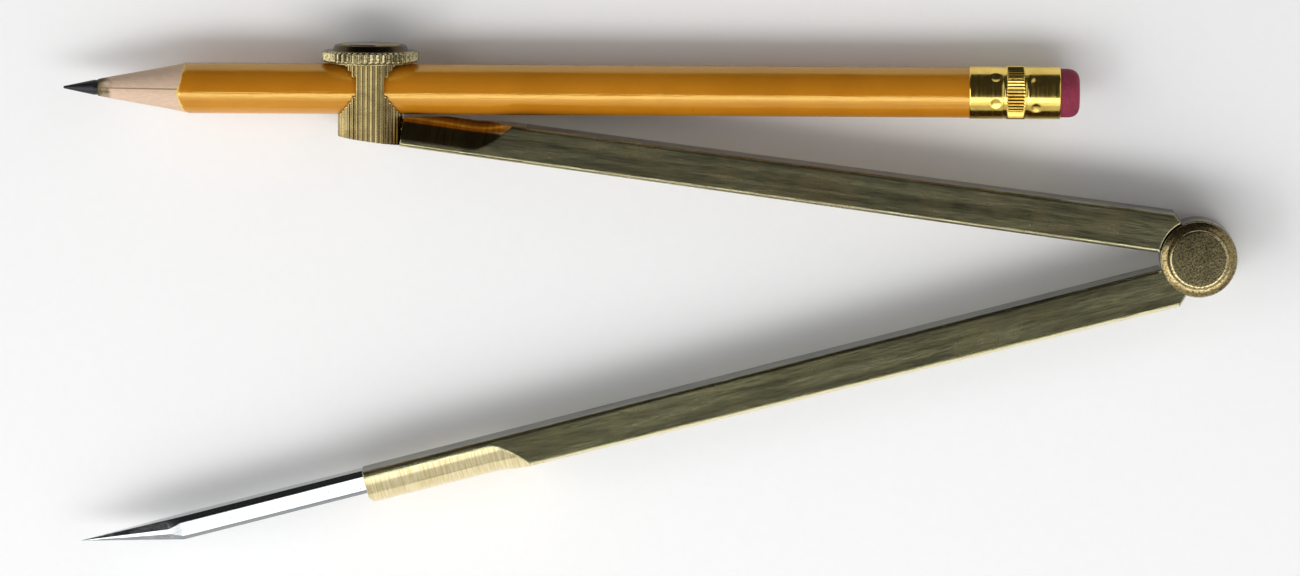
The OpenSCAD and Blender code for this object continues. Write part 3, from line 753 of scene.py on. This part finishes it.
def slat(name, node, start):
    """Half a tube: an outer arc whose radius is the smaller of the barrel and the sharpener's cone, and an inner arc
    for the lead. The cone's start shifts a little with the angle, because a hand sharpener never runs true."""
    angle = start + np.linspace(0, np.pi, ARC)[None, :]
    shift = -0.82 - 0.45 * np.cos(2 * angle) + 0.14 * np.cos(3 * angle + 0.4) + 0.07 * np.cos(7 * angle)
    s = slat_s[:, None]
    slope = (BARREL_R - TIP_LEAD_R) / CONE_L
    cone_r = TIP_LEAD_R + slope * (s + shift * np.clip((s - 6) / 8, 0, 1))
    outer = np.where(s > FERRULE_S, NECK_R, np.minimum(cone_r, BARREL_R))
    inner = np.full_like(outer, LEAD_R + 0.02)
    both = np.concatenate((outer, inner[:, ::-1]), axis=1)
    turn_by = np.concatenate((angle, angle[:, ::-1]), axis=1)
    points = np.stack((np.repeat(s + tip_x, 2 * ARC, axis=1), pencil_y + both * np.cos(turn_by),
                       mid_z + both * np.sin(turn_by)), axis=-1)
    rows = len(slat_s)
    wall = grid_faces(rows, 2 * ARC, wrap_cols=True)
    j = np.arange(ARC - 1)
    end = np.stack((j, j + 1, 2 * ARC - 2 - j, 2 * ARC - 1 - j), axis=-1)
    make_piece(name, points.reshape(-1, 3), np.concatenate((wall, end, end + (rows - 1) * 2 * ARC)), "pencil",
               [node], lacquer, 40.0)


slat("upper_slat", "casing_upper", -np.pi / 2)
slat("lower_slat", "casing_lower", np.pi / 2)

# %% Lead


def graphite_finish(name):
    """Graphite: dark grey with a soft sheen and faint scratches from the sharpener."""
    made, tree, shader, here = start_material(name)
    lines = fill_group(tree, brushed_lines, {"Vector": here, "Lines": 9000.0, "Length": 20.0}).outputs
    metal = blend(tree, lines["Lines"], shade(20, 20, 22), shade(40, 41, 45))
    finish_shader(tree, shader, metal, remap(tree, lines["Lines"], 0.0, 1.0, 0.34, 0.5), lines["Lines"], 0.00001)
    shader.inputs["Metallic"].default_value = 0.3
    return made


lead_end = lead_high[0] - tip_x
lead_cone = (LEAD_R - TIP_LEAD_R) * CONE_L / (BARREL_R - TIP_LEAD_R)
lead = softened([(0, 0, 0), (TIP_LEAD_R, 0, 0.06), (LEAD_R, lead_cone, 0.1), (LEAD_R, lead_end, 0.05),
                 (0, lead_end, 0)], 6)
make_piece("graphite_lead", turned(lead, 96, "x", (tip_x, pencil_y, mid_z)),
           grid_faces(len(lead), 96, wrap_cols=True), "pencil", ["pencil_lead"], graphite_finish("graphite"))

# %% [markdown]
# ## Ferrule and eraser
# The ferrule is a thin brass sleeve. A fluted roller squeezes a band of it into the wood, and a ring of
# punched dents on either side holds the pencil and the eraser. All of that is a depth taken off its radius.

# %% Sleeve with a fluted band and dents


def sleeve_brass(name):
    """Bright rolled brass with faint lines round the sleeve and soft patches of tarnish."""
    made, tree, shader, here = start_material(name)
    off = put(tree, "ShaderNodeVectorMath", {0: here, 1: (4000.0, 60.0, 60.0)}, operation="MULTIPLY").outputs[0]
    lines = put(tree, "ShaderNodeTexNoise", {"Vector": off, "Scale": 1.0, "Detail": 2.0}).outputs["Fac"]
    patches = fill_group(tree, tarnish, {"Vector": here, "Scale": 380.0, "Edge": 0.55, "Softness": 0.14}).outputs[0]
    metal = blend(tree, times(tree, patches, 0.5), shade(240, 208, 110), shade(196, 156, 70))
    finish_shader(tree, shader, metal, remap(tree, lines, 0.3, 0.7, 0.14, 0.24), lines, 0.000004)
    shader.inputs["Metallic"].default_value = 1.0
    return made


ferrule_low, ferrule_high = box_mm("ferrule")
SLEEVE_R, SLEEVE_L = (ferrule_high[1] - ferrule_low[1]) / 2, ferrule_high[0] - ferrule_low[0]
BAND_AT, BAND_L, BAND_FLUTES, DENTS, DENT_GAP = 5.0, 2.4, 48, 6, 1.5


def rolled(radius, height, angle):
    """Depth of the roller's flutes inside the band and of the round dents beside it, on the outer skin only."""
    band = np.clip((height - BAND_AT) / 0.15, 0, 1) * np.clip((BAND_AT + BAND_L - height) / 0.15, 0, 1)
    flutes = 0.16 * band * np.abs(np.sin(BAND_FLUTES * angle / 2)) ** 1.5
    phase = np.where(height < BAND_AT + BAND_L / 2, 0.633, 0.458)
    around = ((angle * DENTS / (2 * np.pi) + phase) % 1.0 - 0.5) * 2 * np.pi / DENTS * SLEEVE_R
    far = np.minimum((height - BAND_AT + DENT_GAP) ** 2, (height - BAND_AT - BAND_L - DENT_GAP) ** 2)
    dents = 0.2 * np.clip(1 - (around ** 2 + far) / 0.62, 0, 1) ** 1.5
    before, after = height - BAND_AT + 0.35, height - BAND_AT - BAND_L - 0.35
    groove = 0.08 * np.exp(-(before / 0.16) ** 2) + 0.08 * np.exp(-(after / 0.16) ** 2)
    return np.where(radius > SLEEVE_R - 0.05, flutes + dents + groove, 0)


sleeve_s = np.linspace(0.1, SLEEVE_L - 0.1, 160)
sleeve = np.concatenate((np.stack((np.full(160, SLEEVE_R), sleeve_s), axis=-1),
                         [[SLEEVE_R - 0.08, SLEEVE_L], [NECK_R + 0.02, SLEEVE_L], [NECK_R + 0.02, 0],
                          [SLEEVE_R - 0.08, 0]]))
make_piece("rolled_ferrule", turned(sleeve, 480, "x", (ferrule_low[0], pencil_y, mid_z), rolled),
           grid_faces(len(sleeve), 480, True, True), "pencil", ["ferrule"],
           sleeve_brass("ferrule_brass"), 40.0)

# %% Worn eraser


def rubber(name):
    """Rubbed pink rubber: mottled colour, grey smudges and a crumbly surface."""
    made, tree, shader, here = start_material(name)
    patches = fill_group(tree, tarnish, {"Vector": here, "Scale": 420.0, "Edge": 0.55, "Softness": 0.2}).outputs[0]
    crumbs = put(tree, "ShaderNodeTexNoise", {"Vector": here, "Scale": 5200.0, "Detail": 4.0}).outputs["Fac"]
    colour = blend(tree, patches, shade(150, 44, 72), shade(112, 34, 54))
    colour = blend(tree, remap(tree, crumbs, 0.5, 0.75, 0.0, 0.35), colour, shade(96, 52, 62))
    finish_shader(tree, shader, colour, remap(tree, crumbs, 0.3, 0.7, 0.7, 0.92), crumbs, 0.00005)
    return made


eraser_low, eraser_high = box_mm("eraser")
RUBBER_R, RUBBER_L = (eraser_high[1] - eraser_low[1]) / 2, eraser_high[0] - eraser_low[0]


def worn(radius, height, angle):
    """Rubbing has taken a little off the end, more on one side."""
    end = np.clip((height - RUBBER_L + 2.2) / 2.2, 0, 1)
    uneven = 1 + np.cos(angle - 1.0) + 0.4 * np.cos(3 * angle) + 0.25 * np.cos(7 * angle + 1)
    return 0.05 * end * radius / RUBBER_R * uneven


stub = softened([(0, 0, 0), (RUBBER_R, 0, 0.1), (RUBBER_R, RUBBER_L, 1.7), (0, RUBBER_L, 0)], 16)
make_piece("worn_eraser", turned(stub, 144, "x", (eraser_low[0], pencil_y, mid_z), worn),
           grid_faces(len(stub), 144, wrap_cols=True), "pencil", ["eraser"], rubber("eraser_rubber"))

# %% [markdown]
# ## Floor, light and camera
# A pale floor lies under the lowest point. One long soft light leans over the near side, and two weaker
# cards below it light the turned ends. Large cards on the left and right soften the shadow. The sky is
# dim, because polished faces that look upwards are dark in the picture.

# %% Floor


def floor_finish(name):
    """Plain pale paper."""
    made, tree, shader, here = start_material(name)
    fibres = put(tree, "ShaderNodeTexNoise", {"Vector": here, "Scale": 900.0, "Detail": 3.0}).outputs["Fac"]
    paper = blend(tree, fibres, shade(247, 247, 247), shade(250, 250, 250))
    tree.links.new(paper, shader.inputs["Base Color"])
    shader.inputs["Roughness"].default_value = 1.0
    shader.inputs["Specular IOR Level"].default_value = 0.0
    return made


middle = (np.array(cad_box[0]) + np.array(cad_box[1])) / 2
HALF_FLOOR = 3.0
floor_z = cad_box[0].z - 0.00002
sheet = bpy.data.meshes.new("floor")
sheet.from_pydata([(middle[0] + x * HALF_FLOOR, middle[1] + y * HALF_FLOOR, floor_z)
                   for x, y in ((-1, -1), (1, -1), (1, 1), (-1, 1))], [], [(0, 1, 2, 3)])
sheet.materials.append(floor_finish("floor_paper"))
floor = bpy.data.objects.new("floor", sheet)
bpy.context.scene.collection.objects.link(floor)
print("floor at", round(floor_z / MM, 2), "mm")

# %% Lights


def soft_card(name, lean_deg, side_deg, distance, width, depth, watts):
    """An area light that faces the compass from a direction leant from straight above, towards -Y and sideways
    to +X."""
    lamp = bpy.data.lights.new(name, "AREA")
    lamp.shape, lamp.size, lamp.size_y, lamp.energy = "RECTANGLE", width, depth, watts
    card = bpy.data.objects.new(name, lamp)
    lean, side = np.radians(lean_deg), np.radians(side_deg)
    off = Vector((np.sin(side), -np.sin(lean) * np.cos(side), np.cos(lean) * np.cos(side)))
    facing = off.to_track_quat("Z", "X").to_matrix().to_4x4()
    card.matrix_world = Matrix.Translation(Vector(middle) + distance * off) @ facing
    card.visible_camera = False
    bpy.context.scene.collection.objects.link(card)
    print(name, watts, "W")


soft_card("key_light", 26.0, 0.0, 0.62, 0.2, 0.9, 1.95)
soft_card("middle_card", 43.5, 0.0, 0.6, 0.18, 0.9, 0.65)
soft_card("low_card", 70.0, 0.0, 0.6, 0.4, 0.9, 0.72)
soft_card("left_card", 25.0, -55.0, 0.9, 1.0, 1.0, 6.0)
soft_card("right_card", 0.0, 58.0, 0.9, 1.6, 1.6, 5.2)
world = bpy.data.worlds.new("dim_room")
world.use_nodes = True
world.node_tree.nodes["Background"].inputs["Color"].default_value = (0.03, 0.03, 0.03, 1)
bpy.context.scene.world = world
bpy.context.scene.view_settings.view_transform = "Standard"

# %% Camera
PHOTO_W, PX_PER_M = 1300, 7453.5
TILT, ROLL, DISTANCE = np.radians(4.31), np.radians(-0.339), 2.0
AIM = Vector((-0.073465, -0.00464, 0.00605))
back = Vector((0, np.sin(TILT), np.cos(TILT)))
right, up = Vector((1, 0, 0)), Vector((0, np.cos(TILT), -np.sin(TILT)))
cam_x, cam_y = np.cos(ROLL) * right - np.sin(ROLL) * up, np.sin(ROLL) * right + np.cos(ROLL) * up
lens = bpy.data.cameras.new("camera")
lens.sensor_width, lens.clip_start, lens.clip_end = 36.0, 0.05, 50.0
lens.lens = lens.sensor_width * DISTANCE * PX_PER_M / PHOTO_W
camera = bpy.data.objects.new("camera", lens)
pose = Matrix((cam_x, cam_y, back)).transposed().to_4x4()
camera.matrix_world = Matrix.Translation(AIM + DISTANCE * back) @ pose
bpy.context.scene.collection.objects.link(camera)
bpy.context.scene.camera = camera
print("lens mm", round(lens.lens, 1))

# %% [markdown]
# ## The end
# The scene is brought up to date.

# %% The end
bpy.context.view_layer.update()
